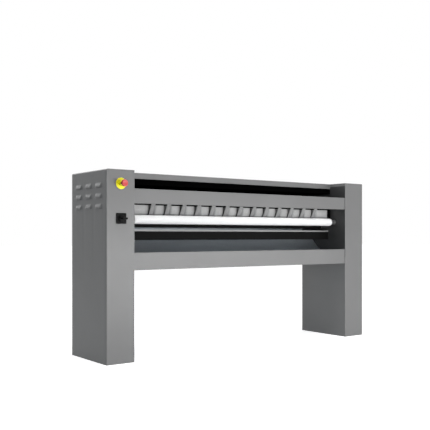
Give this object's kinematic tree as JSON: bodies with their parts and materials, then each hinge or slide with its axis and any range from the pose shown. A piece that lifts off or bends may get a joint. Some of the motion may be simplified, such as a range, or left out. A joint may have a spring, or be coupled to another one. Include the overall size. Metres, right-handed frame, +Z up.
{
  "type": "flatwork ironer",
  "caption": "Flatwork ironer: padded roll with guide tapes over a heated chest between two pedestals, feed roller, linen trough, emergency stop and main switch.",
  "frame": {"origin": "on the floor, in the middle of the four floor anchor holes", "axes": "+X along the roll to the operator's right, +Y to the rear, +Z up"},
  "size_m": [2.057, 0.506, 1.08],
  "materials": {
    "grey_paint": "satin powder coat, fine texture",
    "inner_paint": "grey below, dark heat-resistant enamel round the roll",
    "shelf_paint": "satin light grey paint",
    "satin_steel": "satin stainless sheet",
    "black_paint": "matt black paint",
    "shield_black": "deep matt black, heat resistant",
    "machine_steel": "machined or zinc plated steel",
    "dark_steel": "blackened steel",
    "cast_metal": "cast, oiled",
    "motor_paint": "dark enamel",
    "polished_chest": "polished steel",
    "roll_cloth": "grey woven roll cloth over felt",
    "tape_cloth": "flat woven guide tape",
    "white_cloth": "white sleeve, softly rounded ends",
    "insulation_wool": "mineral wool",
    "heater_sheath": "heat-stained sheath",
    "bush_bronze": "plain bronze",
    "actuator_metal": "plain aluminium",
    "black_plastic": "moulded, fine texture",
    "terminal_plastic": "moulded",
    "warning_yellow": "moulded yellow",
    "stem_plastic": "moulded dark grey",
    "signal_red": "moulded red",
    "belt_rubber": "ribbed belt"
  },
  "bodies": {
    "frame": {"left_front_panel": "grey_paint", "right_front_panel": "grey_paint", "left_side_panel": "grey_paint", "right_side_panel": "grey_paint", "top_caps": "grey_paint", "pedestal_rear_panels": "grey_paint", "upper_front_rail": "grey_paint", "lower_front_rail": "grey_paint", "top_cover": "grey_paint", "left_inner_frame": "inner_paint", "right_inner_frame": "inner_paint", "feed_shelf": "shelf_paint", "linen_trough": "satin_steel", "middle_rear_panel": "satin_steel", "shelf_apron": "black_paint", "roll_shield": "shield_black", "heat_shield": "shield_black", "base_plates": "machine_steel", "tie_beams": "machine_steel", "frame_bolts": "machine_steel", "motor_bracket": "machine_steel", "electrical_plate": "machine_steel", "panel_screws": "machine_steel", "roll_bearings": "cast_metal", "gearbox": "cast_metal", "motor": "motor_paint", "guide_tapes": "tape_cloth", "tape_roller_bushes": "bush_bronze", "press_actuators": "actuator_metal", "limit_switches": "black_plastic", "switch_plate": "black_plastic", "switch_body": "black_plastic", "stop_block": "black_plastic", "contactors": "black_plastic", "thermostat": "black_plastic", "cable_gland": "black_plastic", "terminal_block": "terminal_plastic", "stop_disc": "warning_yellow", "stop_collar": "warning_yellow", "drive_belt": "belt_rubber"},
    "roll": {"roll_padding": "roll_cloth", "roll_tube": "machine_steel", "roll_journals": "machine_steel", "roll_pulley": "cast_metal"},
    "tape_roller": {"tape_roller": "machine_steel"},
    "motor_drive": {"motor_pulley": "cast_metal"},
    "chest": {"chest_plate": "polished_chest", "chest_insulation": "insulation_wool", "chest_heaters": "heater_sheath", "chest_cover": "black_paint", "chest_end_plates": "machine_steel", "press_rods": "machine_steel"},
    "guard": {"guard_arms": "machine_steel", "feed_axle": "dark_steel"},
    "feed_roller": {"feed_roller_cover": "white_cloth", "feed_roller_tube": "machine_steel", "feed_roller_bearings": "cast_metal"},
    "stop_stem": {"stop_stem": "stem_plastic"},
    "stop_head": {"stop_head": "signal_red"},
    "switch_knob": {"switch_knob": "black_plastic"}
  },
  "joints": [
    {"name": "roll_spin", "type": "hinge", "parent": "frame", "child": "roll", "pos_m": [0, 0.0195, 0.88], "axis": [1, 0, 0], "continuous": true},
    {"name": "tape_roller_spin", "type": "hinge", "parent": "frame", "child": "tape_roller", "pos_m": [0, -0.0935, 0.95], "axis": [1, 0, 0], "continuous": true},
    {"name": "motor_spin", "type": "hinge", "parent": "frame", "child": "motor_drive", "pos_m": [0, 0.0195, 0.579], "axis": [1, 0, 0], "continuous": true},
    {"name": "chest_release", "type": "slide", "parent": "frame", "child": "chest", "axis": [0, 0.866, -0.5], "range_m": [0, 0.015]},
    {"name": "guard_lift", "type": "hinge", "parent": "frame", "child": "guard", "pos_m": [0, 0.0045, 0.806], "axis": [-1, 0, 0], "range_deg": [0, 6]},
    {"name": "feed_roller_spin", "type": "hinge", "parent": "guard", "child": "feed_roller", "pos_m": [0, -0.1155, 0.806], "axis": [1, 0, 0], "continuous": true},
    {"name": "stop_push", "type": "slide", "parent": "frame", "child": "stop_stem", "axis": [0, 1, 0], "range_m": [0, 0.005]},
    {"name": "stop_twist", "type": "hinge", "parent": "stop_stem", "child": "stop_head", "pos_m": [-0.9367, -0.262, 1.002], "axis": [0, 1, 0], "range_deg": [0, 45], "stiffness_Nm_per_rad": 0.02},
    {"name": "switch_turn", "type": "hinge", "parent": "frame", "child": "switch_knob", "pos_m": [-0.9356, -0.24, 0.8074], "axis": [0, -1, 0], "range_deg": [0, 90]}
  ],
  "couplings": [
    {"joint": "tape_roller_spin", "follows": "roll_spin", "ratio": 5.885},
    {"joint": "motor_spin", "follows": "roll_spin", "ratio": 2.866}
  ]
}
